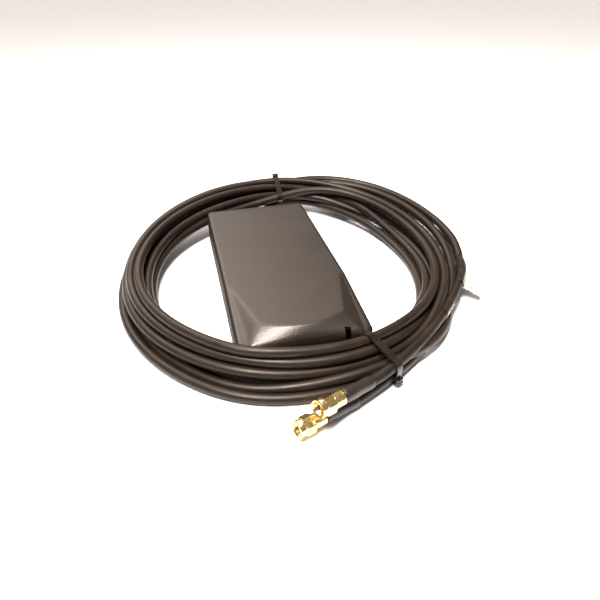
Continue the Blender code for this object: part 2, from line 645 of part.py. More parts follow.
def labels():
    """A sleeve of label film round each tail, and a paper flag folded round the upper one."""
    inner = LEAD / 2 + GAP
    for name, route, index in (("wrap_label_a", TAIL_A, 6), ("wrap_label_b", TAIL_B, 5)):
        turned(name, ring_profile(inner, inner + LABEL, -LABEL_LONG / 2, LABEL_LONG / 2), paper,
               on_route(route, index), 20)
    at = on_route(TAIL_A, 7)
    slope = Matrix.Rotation(math.radians(FLAG_SLOPE), 4, "Z")
    flag = box("flag_label", (inner - 0.001, -LABEL, -FLAG_LONG / 2), (FLAG_OUT, LABEL, FLAG_LONG / 2), paper)
    flag.matrix_world = at @ slope
    for name, radius, reach, operation in (("flag_fold_guide", inner + 2 * LABEL, FLAG_LONG / 2, "UNION"),
                                           ("flag_bore_cutter", inner, FLAG_LONG, "DIFFERENCE")):
        bm = bmesh.new()
        add_rod(bm, radius, -reach, reach, sides=20)
        tool = from_bmesh(name, bm, paper, cutters)
        tool.matrix_world = at
        boolean(flag, tool, operation)


def build():
    top_cover()
    base_plate()
    underside()
    seal()
    board()
    foam()
    lead_clamp()
    cover_screws()
    for tag, x in (("a", LEAD_EXIT_X), ("b", -LEAD_EXIT_X)):
        grommet("lead_grommet_" + tag, x)
        inner_lead(tag, x)
    leads()
    plug_pieces("a", PLUG_A)
    plug_pieces("b", PLUG_B)
    ties()
    labels()


clear_scene()
parts = new_collection("cellular_antenna")
cutters = new_collection("cutters")
plastic = material("moulded_abs", (0.030, 0.027, 0.025), 0.45)
plate_plastic = material("moulded_base_abs", (0.022, 0.021, 0.020), 0.55)
rubber = material("rubber", (0.012, 0.012, 0.012), 0.70)
foam_tape = material("foam_tape", (0.020, 0.020, 0.020), 0.90)
paper = material("label_paper", (0.80, 0.80, 0.78), 0.60)
fibreglass = material("fibreglass_board", (0.020, 0.110, 0.045), 0.45)
copper = material("copper", (0.72, 0.36, 0.22), 0.30, 1.0)
solder = material("solder", (0.60, 0.60, 0.62), 0.30, 1.0)
steel = material("zinc_plated_steel", (0.55, 0.55, 0.56), 0.30, 1.0)
soft_foam = material("soft_foam", (0.030, 0.030, 0.032), 0.95)
jacket = material("pvc_jacket", (0.028, 0.025, 0.023), 0.42)
insulator_white = material("ptfe", (0.85, 0.85, 0.83), 0.40)
gold = material("gold_plated_brass", (0.95, 0.70, 0.30), 0.18, 1.0)
silicone = material("silicone", (0.45, 0.08, 0.05), 0.50)
shrink = material("heatshrink", (0.015, 0.014, 0.014), 0.35)
nylon = material("nylon", (0.014, 0.013, 0.013), 0.25)
build()
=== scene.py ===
import json
import math
import bpy
import numpy as np
from mathutils import Matrix, Vector


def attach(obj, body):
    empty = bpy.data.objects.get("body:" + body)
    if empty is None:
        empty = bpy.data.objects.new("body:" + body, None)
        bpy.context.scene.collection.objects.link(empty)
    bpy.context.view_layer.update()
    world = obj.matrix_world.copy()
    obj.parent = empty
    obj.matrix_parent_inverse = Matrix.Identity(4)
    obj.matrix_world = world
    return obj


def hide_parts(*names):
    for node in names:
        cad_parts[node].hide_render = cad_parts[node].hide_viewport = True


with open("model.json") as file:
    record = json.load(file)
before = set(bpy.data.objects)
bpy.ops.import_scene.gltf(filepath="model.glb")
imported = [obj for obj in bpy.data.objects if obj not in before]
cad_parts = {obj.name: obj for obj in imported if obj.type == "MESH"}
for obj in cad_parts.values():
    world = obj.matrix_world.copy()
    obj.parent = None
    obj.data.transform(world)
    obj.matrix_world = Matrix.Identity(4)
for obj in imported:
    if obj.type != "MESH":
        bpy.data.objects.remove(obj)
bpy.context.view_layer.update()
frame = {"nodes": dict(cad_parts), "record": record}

print("frame loaded:", len(frame["nodes"]), "nodes")
scene = bpy.context.scene
mm = 0.001


# Small helpers

def nothingSelected():
    if bpy.context.object and bpy.context.object.mode != "OBJECT":
        bpy.ops.object.mode_set(mode="OBJECT")
    bpy.ops.object.select_all(action="DESELECT")


def madeActive(obj):
    nothingSelected()
    obj.select_set(True)
    bpy.context.view_layer.objects.active = obj
    return obj


def applyModifier(obj, kind, **settings):
    madeActive(obj)
    modifier = obj.modifiers.new(kind.lower(), kind)
    for name, value in settings.items():
        setattr(modifier, name, value)
    bpy.ops.object.modifier_apply(modifier=modifier.name)
    return obj


def cutWith(obj, tool, operation="DIFFERENCE"):
    applyModifier(obj, "BOOLEAN", object=tool, operation=operation, solver="EXACT")
    bpy.data.objects.remove(tool)
    return obj


def block(middle, size, rounded=0.0, steps=1):
    # A block in millimetres to cut with or to join on, its edges rounded if asked.
    nothingSelected()
    bpy.ops.mesh.primitive_cube_add(size=1.0, location=[m * mm for m in middle])
    obj = bpy.context.object
    obj.dimensions = [d * mm for d in size]
    bpy.ops.object.transform_apply(location=True, rotation=True, scale=True)
    if rounded:
        bpy.ops.object.mode_set(mode="EDIT")
        bpy.ops.mesh.select_all(action="SELECT")
        bpy.ops.mesh.bevel(offset=rounded * mm, segments=steps, affect="EDGES")
        bpy.ops.object.mode_set(mode="OBJECT")
    return obj


def finished(obj, name, body, slotName, replaced, smooth, second=None, secondFaces=()):
    # Named, smoothed below an angle, and given its slot's finish, with a second one on some of its faces.
    madeActive(obj)
    obj.name = obj.data.name = name
    bpy.ops.object.shade_smooth_by_angle(angle=math.radians(smooth))
    obj.data.materials.clear()
    obj.data.materials.append(finishes[slotName])
    if second:
        obj.data.materials.append(second)
        for face in secondFaces:
            obj.data.polygons[face].material_index = 1
    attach(obj, body)
    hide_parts(replaced)
    return obj


# Camera: seen from in front and above, a little to the left

view = {
    "place": (-0.0496, -0.2524, 0.1690),
    "azimuth": -14.3,
    "elevation": 34.8,
    "lens": 29.4,
    "sensor": 36.0,
}


def placeCamera():
    data = bpy.data.cameras.new("camera")
    data.lens, data.sensor_width = view["lens"], view["sensor"]
    data.clip_start, data.clip_end = 0.01, 20.0
    camera = bpy.data.objects.new("camera", data)
    scene.collection.objects.link(camera)
    around, up = math.radians(view["azimuth"]), math.radians(view["elevation"])
    back = Vector((math.sin(around) * math.cos(up), -math.cos(around) * math.cos(up), math.sin(up)))
    camera.location = view["place"]
    camera.rotation_mode = "QUATERNION"
    camera.rotation_quaternion = (-back).to_track_quat("-Z", "Y")
    scene.camera = camera


placeCamera()


# Materials

def linear(hexColour):
    channels = [int(hexColour[k:k + 2], 16) / 255 for k in (1, 3, 5)]
    return [c / 12.92 if c <= 0.04045 else ((c + 0.055) / 1.055) ** 2.4 for c in channels] + [1.0]


def addNode(tree, kind, links=None, **settings):
    node = tree.nodes.new(kind)
    for name, value in settings.items():
        if name in node.inputs:
            node.inputs[name].default_value = value
        else:
            setattr(node, name, value)
    for name, source in (links or {}).items():
        tree.links.new(source, node.inputs[name])
    return node


def finish(name, colours, gloss, clouds, relief, step=(0.35, 0.65), **sockets):
    # Colour and gloss drift in soft clouds, and a fine relief breaks the light.
    made = bpy.data.materials.new(name)
    made.use_nodes = True
    tree = made.node_tree
    shader = tree.nodes["Principled BSDF"]
    for socket, value in sockets.items():
        shader.inputs[socket.replace("_", " ")].default_value = value
    place = addNode(tree, "ShaderNodeTexCoord").outputs["Object"]
    depth = relief[1]
    layers = {"tint": clouds, "relief": (relief[0], *relief[2:]), "gloss": gloss[2:]}
    noise = {use: addNode(tree, "ShaderNodeTexNoise", {"Vector": place}, Scale=1.0 / (size[0] * mm),
                          Detail=size[1] if len(size) > 1 else 2.0).outputs["Fac"]
             for use, size in layers.items() if size}
    ramp = addNode(tree, "ShaderNodeValToRGB", {"Fac": noise["tint"]})
    for stop, at, colour in zip(ramp.color_ramp.elements, step, colours):
        stop.position, stop.color = at, linear(colour)
    tree.links.new(ramp.outputs["Color"], shader.inputs["Base Color"])
    shader.inputs["Roughness"].default_value = gloss[0]
    if "gloss" in noise:
        spread = addNode(tree, "ShaderNodeMapRange", {"Value": noise["gloss"]}, **{
            "From Min": 0.3, "From Max": 0.7, "To Min": gloss[0], "To Max": gloss[1]})
        tree.links.new(spread.outputs["Result"], shader.inputs["Roughness"])
    bump = addNode(tree, "ShaderNodeBump", {"Height": noise["relief"]}, Distance=depth * mm)
    tree.links.new(bump.outputs["Normal"], shader.inputs["Normal"])
    return made


# Each finish: its dark and light colour; its roughness, or the least, the most and the patches' size;
# the size of its clouds; the size and depth of its relief. Sizes are in millimetres, and a last value is
# the noise's detail. IOR and roughness are those of the real material, trimmed.
finishes = {
    # spark-eroded ABS: an even grain that breaks up the highlight, drawn coarser than the real 0.1 mm to show
    "cover_abs": finish("sparkErodedAbs", ("#17120f", "#1c1612"), (0.30, 0.37, 26.0), (26.0,),
                        (0.9, 0.08, 3.0), IOR=1.54),
    "base_abs": finish("mouldedBaseAbs", ("#181513", "#1e1a18"), (0.47, 0.54, 26.0), (26.0,),
                       (0.9, 0.04, 3.0), IOR=1.54),
    # moulded rubber: near black and dull, with a faint bloom
    "rubber": finish("mouldedRubber", ("#1a1817", "#2b2826"), (0.62,), (6.0,), (0.6, 0.02), IOR=1.52),
    "silicone": finish("siliconeRubber", ("#6d2019", "#2b2826"), (0.50,), (6.0,), (0.6, 0.02), IOR=1.52),
    # closed-cell acrylic foam tape: matt, with a fine cloudy surface
    "foam_tape": finish("acrylicFoamTape", ("#1b1a1a", "#242323"), (0.85,), (3.0,), (0.5, 0.02), IOR=1.5),
    # coated label paper with short plain grey dashes
    "label_film": finish("coatedLabelPaper", ("#7f7c78", "#e4e2de"), (0.55,), (1.4, 1.0), (4.0, 0.03),
                         step=(0.40, 0.47), IOR=1.5),
    # solder mask over glass cloth: smooth, green, a little mottled
    "fibreglass": finish("fibreglassBoard", ("#0f3b22", "#174a2c"), (0.40,), (1.2,), (0.2, 0.02), IOR=1.5),
    # rolled, cast and plated metal: an even sheen with soft clouding
    "copper": finish("rolledCopper", ("#a8613f", "#c07a52"), (0.32,), (2.0,), (0.4, 0.006), Metallic=1.0),
    "solder": finish("solderFillet", ("#8d8f93", "#b2b4b8"), (0.30,), (2.0,), (0.4, 0.006), Metallic=1.0),
    "zinc_steel": finish("zincPlatedSteel", ("#8f9196", "#b4b6ba"), (0.32,), (2.0,), (0.4, 0.006),
                         Metallic=1.0),
    # gold flash over turned brass: pale, bright, slightly tarnished, its lathe marks drawn coarse to show
    "gold_plate": finish("goldPlatedBrass", ("#ecca80", "#fae9b6"), (0.14, 0.27, 1.2), (2.5,), (0.35, 0.006),
                         Metallic=1.0),
    # open-cell foam: dull and pitted
    "soft_foam": finish("openCellFoam", ("#232222", "#302f2f"), (0.95,), (2.0,), (2.0 / 6, 0.10), IOR=1.5),
    # extruded matt PVC over braid: satin, with the braid's weave just telling through
    "cable_jacket": finish("extrudedPvcJacket", ("#15100d", "#1f1812"), (0.36, 0.48, 9.0), (30.0,),
                           (1.1, 0.055), IOR=1.45, Specular_IOR_Level=0.34),
    # turned PTFE: white, waxy and smooth
    "ptfe": finish("turnedPtfe", ("#e4e2dc", "#efeee9"), (0.42,), (2.0,), (2.0 / 6, 0.006), IOR=1.5),
    # polyolefin heat-shrink: black, half gloss, drawn into fine ripples
    "heatshrink": finish("heatShrinkTube", ("#181514", "#25211f"), (0.34,), (7.0,), (1.6, 0.06), IOR=1.51),
    # moulded nylon: hard, black and glossy
    "nylon": finish("mouldedNylon", ("#100e0e", "#1c1a19"), (0.20,), (5.0,), (0.9, 0.02), IOR=1.53),
}
# painted shade: a darker copy of the cover's finish for its side walls, rougher and with little reflection,
# so they stay as dark as walls that reflect shadowed floor
coverWallsPaintedShade = finish("absWallPaintedShade", ("#17120f", "#1c1612"), (0.59, 0.66, 26.0), (26.0,), (0.9, 0.08, 3.0),
                    IOR=1.54, Specular_IOR_Level=0.08)
# clear film over the leads takes the jacket's colour and only adds gloss
clearFilm = finish("laminatingFilm", ("#1a1613", "#28221e"), (0.16,), (6.0,), (2.5, 0.03), IOR=1.49)
print("finishes made:", len(finishes) + 2)


def dressNodes():
    # Every CAD node that still shows gets the finish of its own slot.
    for part in frame["record"]["subparts"]:
        obj = frame["nodes"][part["node"]]
        obj.data.materials.clear()
        obj.data.materials.append(finishes[part["material_slot"]])


dressNodes()


# The two leads: from the housing, round the coil and out to the plugs

lead = {
    "diameter": 5.4,
    "spacing": 2.6,                   # between the points of a route
    "round": 6,                       # steps round a quarter of the jacket
    "straight": 10,                   # points at each end that stay straight
    "eased": 24,                      # rounds of smoothing
    "trimmed": 3,                     # points of the coil given up to each join
    "declared": {"length": 2.9, "diameter": 0.0054, "far_end": "connector", "stiffness": "medium",
                 "lay": "coiled"},
}

feeds = {
    "a": ((11, 75, 9.3), (11, 84, 9.3), (11, 92, 9.3), (11.4, 96.0, 9.3), (16, 104.5, 8.8),
          (25.0, 109.4, 8.6), (36.0, 109.0, 9.2), (45, 105.6, 9.8)),
    "b": ((-11, 75, 9.3), (-11, 84, 9.3), (-11, 92, 9.3), (-10.7, 97, 9.3), (-4.5, 108.5, 8.8),
          (8, 116.5, 8.6), (22, 119.5, 8.7), (35, 119.3, 9.6), (44, 117.2, 10.8)),
}
tails = {
    "a": ((119.8, -13.5, 9.0), (109.5, -29.4, 9.6), (97, -44.7, 9.7), (83.5, -58.6, 9.7), (70, -71.3, 9.7),
          (57, -81.8, 9.7), (45, -90, 10.0), (33.3, -97.4, 10.3)),
    "b": ((119.8, -13.6, 3.0), (109.5, -29.5, 3.3), (97, -44.8, 3.4), (83.5, -58.8, 3.4), (70, -71.5, 3.4),
          (57, -82, 3.4), (45, -90.2, 3.8), (34, -96.6, 4.2)),
}
plugs = {
    "a": {"face": (-7.2, -116.0, 13.6), "way": (0.900, 0.419, -0.115)},
    "b": {"face": (-16.7, -117.2, 5.10), "way": (0.940, 0.340, -0.040)},
}
plug = {"sleeveStart": 14.6, "sleeve": 18.0, "leadEnds": 22.9}

coil = {
    "middle": (18.0, 10.0),
    "step": 3.0,                      # degrees from one worked-out point to the next
    "joins": 75.0,                    # where the feeds come in
    "leaves": -13.0 - 4 * 360,        # where the tails leave, four turns on
    "turns": 5,                       # the last one only in part
    "rounds": 160,                    # of settling, with how far each of them moves a strand
    "push": 0.7,
    "ease": 0.45,
    "draw": 0.04,                     # back to its own place, for the first part of the rounds
    "drawnFor": 0.8,
    "apart": 0.06,                    # air between strands, and to the housing
    "clear": 0.4,
    "climb": 14,                      # points in which the first stretch comes up from under the bundle
    "wander": {"waves": 6, "turns": (6, 20), "across": 0.2, "upDown": 0.08},
    "chance": 7,
    # the lowest that a strand's middle comes, by angle: the back lies over the two leads' exits
    "low": {5: 2.75, 30: 5.5, 55: 11.0, 75: 15.6, 100: 15.6, 135: 11.5, 165: 6.0, 195: 2.75, 330: 2.75},
    # how the strands lie in the bundle, inner to outer: distance from the middle, and height
    "lay": {
        75: ((87, 15.6), (89.5, 20.5), (96.5, 24.6), (96, 17), (103, 17.5), (102.5, 24.5), (108.5, 24.8),
             (108, 18), (113.5, 18), (113, 24)),
        45: ((81.5, 7.5), (87, 12), (95, 19), (91, 9), (98, 12), (102, 19), (109, 21), (105, 12),
             (117, 15), (118, 21.3)),
        15: ((73, 3), (79, 5), (90, 11), (85, 4), (92, 3), (97, 11), (105, 13), (99.5, 5), (111.5, 6),
             (113, 12.5)),
        -13: ((73.5, 2.8), (78.5, 5), (84, 10), (83.5, 2.8), (89, 3), (89.5, 9), (95, 9), (94, 3),
              (104.5, 3), (104.5, 9)),
        -40: ((77, 2.8), (79.5, 8), (83, 12.5), (85, 3), (86, 8), (88, 12.8), (91, 8), (91, 2.8)),
        -66: ((87.5, 2.8), (88, 8), (89, 15.6), (92, 12.4), (93, 2.8), (94.5, 7.8), (98, 2.8), (98.6, 7.4)),
        -82: ((92.4, 2.8), (92.4, 8.1), (92.8, 15), (97.4, 12.4), (97.6, 2.8), (98.2, 7.6), (102.4, 2.8),
              (102.6, 7.6)),
        -116: ((98.4, 2.8), (98.4, 8.1), (98.9, 18.4), (100.2, 13.3), (102.6, 2.8), (104.4, 9.2),
               (113.6, 2.8), (106.9, 3.0)),
        -150: ((96, 2.8), (97, 8), (99, 17.5), (103, 13.6), (101.5, 4.5), (107, 9.5), (113, 3.5), (108, 3)),
        -180: ((93, 5.7), (95, 10.8), (99.5, 17.5), (104.5, 15), (99, 5.7), (107, 10.5), (109.3, 5.7),
               (104.3, 5)),
        -215: ((90.5, 11), (92.5, 16.5), (97, 22), (102.5, 21.5), (96.5, 12), (107.5, 19), (107, 13),
               (102, 13)),
        -255: ((83, 15.6), (86.5, 20.3), (94, 25), (101, 26), (91.5, 17), (106.5, 24.5), (104, 18.5),
               (97, 18)),
        -275: ((83.5, 15.6), (87, 20.5), (95, 25), (101, 26), (94, 17), (107.5, 24), (107, 18), (100, 18)),
    },
}
housing = {"wide": 69.5, "long": 150.0, "high": 22.5}


def smoothThrough(x, y, at):
    # A cubic through the points that never swings past them.
    gap = np.diff(x)
    slope = np.diff(y) / gap
    tangent = np.zeros_like(y)
    same = slope[:-1] * slope[1:] > 0
    tangent[1:-1][same] = (2 * slope[:-1] * slope[1:] / (slope[:-1] + slope[1:] + 1e-12))[same]
    tangent[0], tangent[-1] = slope[0], slope[-1]
    i = np.clip(np.searchsorted(x, at) - 1, 0, len(x) - 2)
    t = (at - x[i]) / gap[i]
    return ((2 * t ** 3 - 3 * t ** 2 + 1) * y[i] + (t ** 3 - 2 * t ** 2 + t) * gap[i] * tangent[i]
            + (3 * t ** 2 - 2 * t ** 3) * y[i + 1] + (t ** 3 - t ** 2) * gap[i] * tangent[i + 1])


def housingReach(angle):
    # How far the housing's outline is from the coil's middle that way.
    across, along = math.cos(math.radians(angle)), math.sin(math.radians(angle))
    nearest = 1000.0
    for wall, start, way in ((housing["wide"] / 2, coil["middle"][0], across),
                             (-housing["wide"] / 2, coil["middle"][0], across),
                             (housing["long"] / 2, coil["middle"][1], along),
                             (-housing["long"] / 2, coil["middle"][1], along)):
        if abs(way) > 1e-6 and (wall - start) / way > 0:
            far = (wall - start) / way
            if (abs(coil["middle"][0] + far * across) <= housing["wide"] / 2 + 0.01
                    and abs(coil["middle"][1] + far * along) <= housing["long"] / 2 + 0.01):
                nearest = min(nearest, far)
    return nearest if nearest < 1000.0 else 0.0


def coilTurns():
    # Each lead's place in the bundle turn by turn, then settled so that no strand lies in another.
    angles = np.arange(coil["joins"], coil["leaves"] - 0.001, -coil["step"])
    chance = np.random.default_rng(coil["chance"])
    wander = coil["wander"]
    strands = []
    for which, tag in enumerate(("a", "b")):
        knots = []
        for turn in range(coil["turns"]):
            for angle, cells in coil["lay"].items():
                place = 2 * turn + which
                if angle - 360 * turn > coil["leaves"] - 0.1 and place < len(cells):
                    knots.append((-(angle - 360 * turn), *cells[place]))
        x, y, z = feeds[tag][-1]
        knots[0] = (knots[0][0], math.hypot(x - coil["middle"][0], y - coil["middle"][1]), z)
        knots = np.array(knots)
        reach = smoothThrough(knots[:, 0], knots[:, 1], -angles)
        height = smoothThrough(knots[:, 0], knots[:, 2], -angles)
        share = np.linspace(0, 1, len(angles))
        for _ in range(wander["waves"]):        # the slow wander of a lead laid by hand
            waves = chance.uniform(*wander["turns"])
            start, other = chance.uniform(0, 6.28), chance.uniform(0, 6.28)
            reach = reach + wander["across"] * np.sin(2 * np.pi * waves * share + start)
            height = height + wander["upDown"] * np.sin(2 * np.pi * waves * share + other)
        strands.append(np.stack([reach, height], 1))
    placed = np.stack(strands)
    wanted = placed.copy()
    perTurn = round(360 / coil["step"])
    order = np.arange(len(angles))
    together = [order[order % perTurn == k] for k in range(perTurn)]
    lows = sorted(coil["low"])
    lowAt = [k + 360 * turn for turn in (-1, 0, 1) for k in lows]
    low = np.interp(np.mod(angles, 360), lowAt, [coil["low"][k] for k in lows] * 3)
    low[:coil["climb"]] = wanted[:, :coil["climb"], 1].min(0)
    wall = np.array([housingReach(a) for a in angles]) + lead["diameter"] / 2 + coil["clear"]
    apart = lead["diameter"] + coil["apart"]
    for step in range(coil["rounds"]):
        push = np.zeros_like(placed)
        for same in together:
            here = np.concatenate([placed[0, same], placed[1, same]])
            between = here[:, None] - here[None]
            far = np.hypot(between[..., 0], between[..., 1])
            np.fill_diagonal(far, 99.0)
            over = np.clip(apart - far, 0, None) / np.maximum(far, 0.3) / 2
            move = (between * over[..., None]).sum(1)
            push[0, same] += move[:len(same)]
            push[1, same] += move[len(same):]
        placed[:, 1:-1] += coil["push"] * push[:, 1:-1]
        placed[:, 1:-1] += coil["ease"] * ((placed[:, 2:] + placed[:, :-2]) / 2 - placed[:, 1:-1])
        if step < coil["rounds"] * coil["drawnFor"]:
            placed += coil["draw"] * (wanted - placed)
        placed[..., 1] = np.maximum(placed[..., 1], low)
        beside = placed[..., 1] < housing["high"] + lead["diameter"] / 2
        placed[..., 0] = np.maximum(placed[..., 0], np.where(beside, wall, 0.0))
    turn = np.radians(angles)
    return {tag: np.stack([coil["middle"][0] + placed[k, :, 0] * np.cos(turn),
                           coil["middle"][1] + placed[k, :, 0] * np.sin(turn), placed[k, :, 1]], 1)
            for k, tag in enumerate(("a", "b"))}


def evenly(points, spacing):
    # The same line as points at an even spacing.
    steps = np.linalg.norm(np.diff(points, axis=0), axis=1)
    walked = np.concatenate([[0.0], np.cumsum(steps)])
    at = np.linspace(0.0, walked[-1], max(2, round(walked[-1] / spacing)) + 1)
    return np.stack([np.interp(at, walked, points[:, k]) for k in range(3)], 1)


def throughPoints(points):
    # A smooth line through a route's own points.
    route = np.array(points, float)
    route = np.vstack([2 * route[0] - route[1], route, 2 * route[-1] - route[-2]])
    fine = []
    for a, b, c, d in zip(route, route[1:], route[2:], route[3:]):
        for t in np.linspace(0, 1, 12, endpoint=False):
            fine.append(0.5 * (2 * b + (c - a) * t + (2 * a - 5 * b + 4 * c - d) * t ** 2
                               + (3 * b - a - 3 * c + d) * t ** 3))
    return np.array(fine + [route[-2]])


def plugPoint(tag, along):
    way = Vector(plugs[tag]["way"]).normalized()
    return tuple(Vector(plugs[tag]["face"]) + way * along)


def leadRoute(tag, turns):
    ends = (plugPoint(tag, plug["sleeveStart"] + plug["sleeve"] + 1.0), plugPoint(tag, plug["leadEnds"]))
    trimmed, held = lead["trimmed"], lead["straight"]
    route = np.vstack([throughPoints(feeds[tag]), turns[trimmed:-trimmed], throughPoints(tails[tag] + ends)])
    line = evenly(route, lead["spacing"])
    for _ in range(lead["eased"]):
        line[held:-held] += 0.5 * ((line[held + 1:len(line) - held + 1] + line[held - 1:-held - 1]) / 2
                                   - line[held:-held])
    return evenly(line, lead["spacing"])


def makeLead(tag):
    curve = bpy.data.curves.new("lead_" + tag, "CURVE")
    curve.dimensions = "3D"
    curve.bevel_depth = lead["diameter"] / 2 * mm
    curve.bevel_resolution = lead["round"]
    curve.use_fill_caps = True
    line = curve.splines.new("POLY")
    route = routes[tag] * mm
    line.points.add(len(route) - 1)
    for point, spot in zip(line.points, route):
        point.co = (*spot, 1.0)
    line.use_smooth = True
    obj = bpy.data.objects.new("lead_" + tag, curve)
    scene.collection.objects.link(obj)
    curve.materials.append(finishes["cable_jacket"])
    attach(obj, "root")
    return obj


turns = coilTurns()
routes = {tag: leadRoute(tag, turns[tag]) for tag in ("a", "b")}
leadA = makeLead("a")
leadB = makeLead("b")
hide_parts("lead_a_feed", "lead_a_tail", "lead_coil")
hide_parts("lead_b_feed", "lead_b_tail")
print("leads laid")


# Turned pieces: a ring drawn out and widened step by step along its own axis

def turned(rings, sides):
    # rings: (radius, along) in millimetres
    nothingSelected()
    radius, along = rings[0]
    bpy.ops.mesh.primitive_circle_add(vertices=sides, radius=radius * mm, location=(0, 0, along * mm))
    obj = bpy.context.object
    bpy.ops.object.transform_apply(location=True, rotation=True, scale=True)
    bpy.ops.object.mode_set(mode="EDIT")
    bpy.ops.mesh.select_all(action="SELECT")
    for newRadius, newAlong in rings[1:]:
        bpy.ops.mesh.extrude_region_move(TRANSFORM_OT_translate={"value": (0, 0, (newAlong - along) * mm)})
        grow = max(newRadius, 0.0001) / max(radius, 0.0001)
        bpy.ops.transform.resize(value=(grow, grow, 1), center_override=(0, 0, newAlong * mm))
        radius, along = max(newRadius, 0.0001), newAlong
    bpy.ops.mesh.select_all(action="SELECT")
    bpy.ops.mesh.remove_doubles(threshold=0.000002)
    bpy.ops.mesh.select_all(action="SELECT")
    bpy.ops.mesh.normals_make_consistent(inside=False)
    bpy.ops.object.mode_set(mode="OBJECT")
    return obj


def onAxis(obj, start, way):
    turn = Vector(way).normalized().to_track_quat("Z", "Y").to_matrix().to_4x4()
    obj.data.transform(Matrix.Translation(Vector(start) * mm) @ turn)
    obj.data.update()
    return obj


# Cover: one moulded shell, its top drawn as a fine surface and given its wall

cover = {
    "corner": 4.5,                    # radius of the upright corners, and of the edge round the top
    "edge": 2.6,
    "bottom": 1.9,
    "waist": 9.0,                     # a level where the skirt has a row of corners
    "wall": 2.0,
    "wallTop": 21.2,                  # the side walls' painted-shade copy of the finish stops here
    "shelfBack": -26.4,               # Y where the side shelves start to fall
    "frontWall": 16.9,                # height of the front wall
    "humpBack": 31.5,                 # half width of the hump's top at the back and the front
    "humpFront": 22.5,
    "footBack": 32.0,                 # half width of the hump's foot at the back and the front
    "footFront": 29.0,
    "cornerY": -61.9,                 # Y of the front bevel's top at its ends and in its middle
    "noseY": -68.5,
    "noseSoft": 0.35,                 # how softly the faces meet
    "crestSoft": 0.45,
    "footSoft": 0.3,
    "notch": {"left": 19.25, "right": 22.4, "top": 19.7, "sill": 4.0, "deep": 3.6},
}


def softer(a, b, radius, sign):
    # The lower (sign 1) or higher (sign -1) of two heights, rounded where they meet.
    mix = np.clip(0.5 + sign * 0.5 * (b - a) / radius, 0, 1)
    return b * (1 - mix) + a * mix - sign * radius * mix * (1 - mix)


def crestAt(y):
    # Half width of the hump's top, and of its foot, at each Y.
    c = cover
    run = np.clip((c["shelfBack"] - y) / (c["shelfBack"] - c["cornerY"]), 0, 1.05)
    whole = np.clip((c["shelfBack"] - y) / (c["shelfBack"] + housing["long"] / 2), 0, 1)
    return (c["humpBack"] + (c["humpFront"] - c["humpBack"]) * run,
            c["footBack"] + (c["footFront"] - c["footBack"]) * whole)


def topHeight(x, y):
    c = cover
    top, front = housing["high"], -housing["long"] / 2
    shelf = top - (top - c["frontWall"]) * np.clip((c["shelfBack"] - y) / (c["shelfBack"] - front), 0, None)
    side = np.abs(x)
    crest, foot = crestAt(y)
    flank = top + (crest - side) * np.maximum(top - shelf, 0.02) / (foot - crest)
    nose = c["noseY"] + (c["cornerY"] - c["noseY"]) * (side / c["humpFront"]) ** 2
    down = np.clip((nose - y) / np.maximum(nose - front, 0.5), 0, 1)
    bevel = c["frontWall"] + (top - c["frontWall"]) * (1 - down) * (1 + 0.3 * down)
    bevel = np.where(y < nose, bevel, top + (y - nose) * 0.35)
    hump = softer(np.full_like(x, top), bevel, c["noseSoft"], 1)
    hump = softer(hump, flank, c["crestSoft"], 1)
    surface = softer(hump, np.minimum(shelf, top), c["footSoft"], -1)
    return np.where(y < c["shelfBack"], np.minimum(surface, top), top)


def rimLines(half):
    # Close lines where the top's edge is rounded, from the inside out.
    return [half - cover["edge"] * (1 - math.sin(math.radians(a))) for a in (0, 18, 36, 54, 72, 90)]


def acrossLines(y):
    # Lines across one row of the cover's surface: they follow the hump's crest and foot.
    crest, foot = crestAt(y)
    half = housing["wide"] / 2
    inner = half - cover["edge"]
    foot = min(foot, inner - 0.5)
    crest = min(crest, foot - 0.3)
    right = np.concatenate([np.linspace(0, crest - 0.5, 22), np.linspace(crest - 0.3, crest + 0.15, 4),
                            np.linspace(crest + 0.15, foot - 0.15, 5)[1:-1],
                            np.linspace(foot - 0.1, foot + 0.3, 4),
                            np.linspace(foot + 0.3, inner, 7)[1:-1], rimLines(half)])
    right = np.maximum.accumulate(right + np.arange(len(right)) * 1e-4)       # never two in one place
    right[-1] = half
    return np.concatenate([-right[:0:-1], right])


def alongLines():
    half = housing["long"] / 2
    inner = half - cover["edge"]
    rim = rimLines(half)
    front = list(np.linspace(-inner, cover["shelfBack"] + 1, 84))[1:]
    rest = list(np.linspace(cover["shelfBack"] + 1, inner, 40))[1:-1]
    return np.array([-r for r in rim[::-1]] + front + rest + rim)


